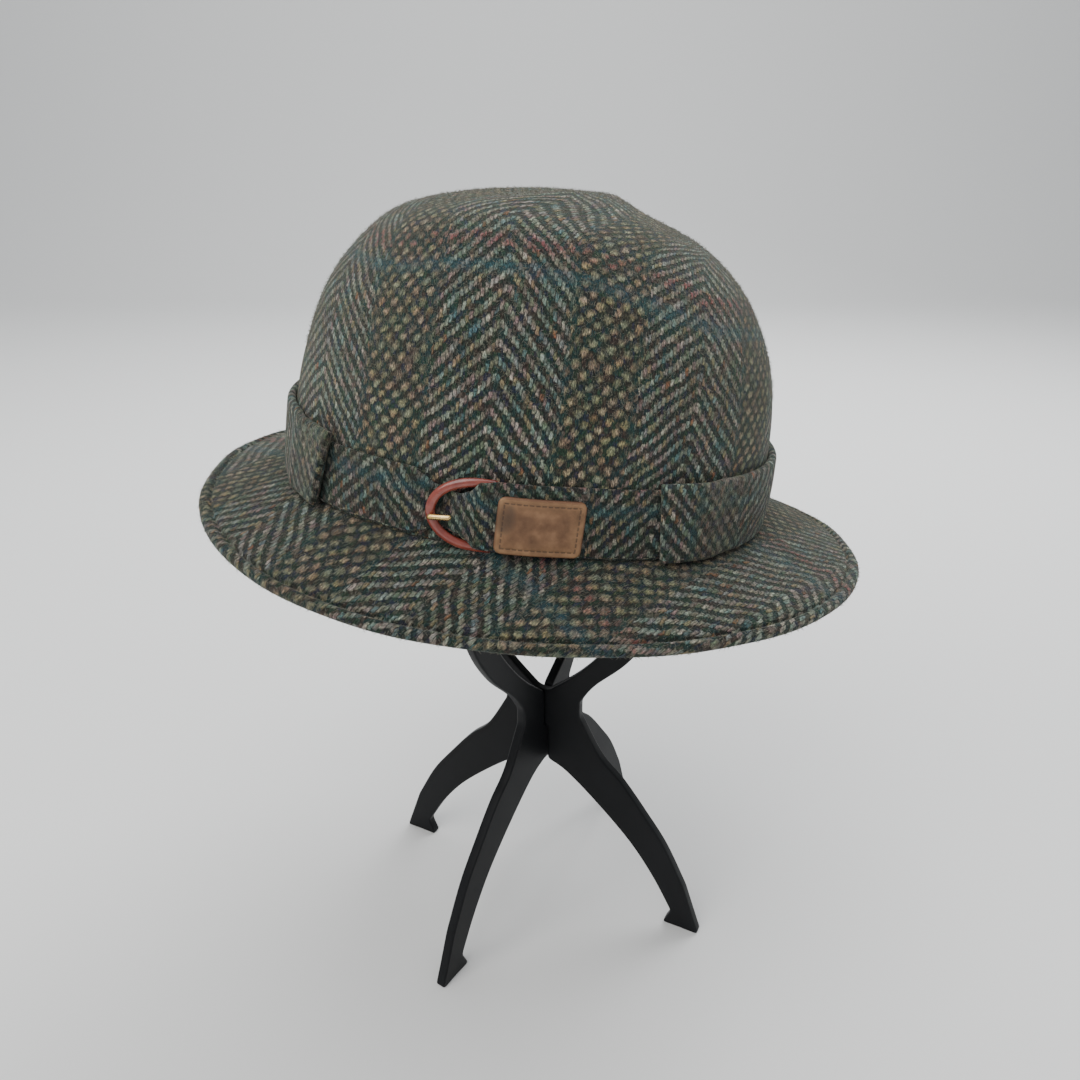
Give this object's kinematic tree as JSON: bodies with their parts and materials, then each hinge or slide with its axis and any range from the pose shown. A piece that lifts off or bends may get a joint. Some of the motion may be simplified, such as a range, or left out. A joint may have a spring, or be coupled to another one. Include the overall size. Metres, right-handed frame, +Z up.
{
  "type": "tweed hat on folding hat stand",
  "caption": "Soft tweed hat with a sloping brim and a buckled tweed band, resting on a plain black stand of slotted plates with legs and prongs.",
  "frame": {"origin": "middle of the bottom of the whole part's box, on the surface that the stand's feet rest on", "axes": "+Z up; the buckle side of the hat faces -Y; the hat leans down towards +X"},
  "size_m": [0.2916, 0.248, 0.3613],
  "materials": {
    "tweed": "woolly herringbone and birdseye tweed in green-black, grey-beige and rust yarns",
    "band_tweed": "the same tweed, folded double",
    "buckle_gloss": "glossy red-brown",
    "pin_brass": "polished gold-coloured metal",
    "tan_leather": "worn tan leather with a stitched border",
    "stand_plastic": "satin black moulded plastic"
  },
  "bodies": {
    "root": {"crown": "tweed", "brim": "tweed", "hat_band": "band_tweed", "strap": "band_tweed", "buckle": "buckle_gloss", "buckle_pin": "pin_brass", "leather_tag": "tan_leather", "stand_plate_a": "stand_plastic", "stand_plate_b": "stand_plastic"}
  },
  "joints": []
}
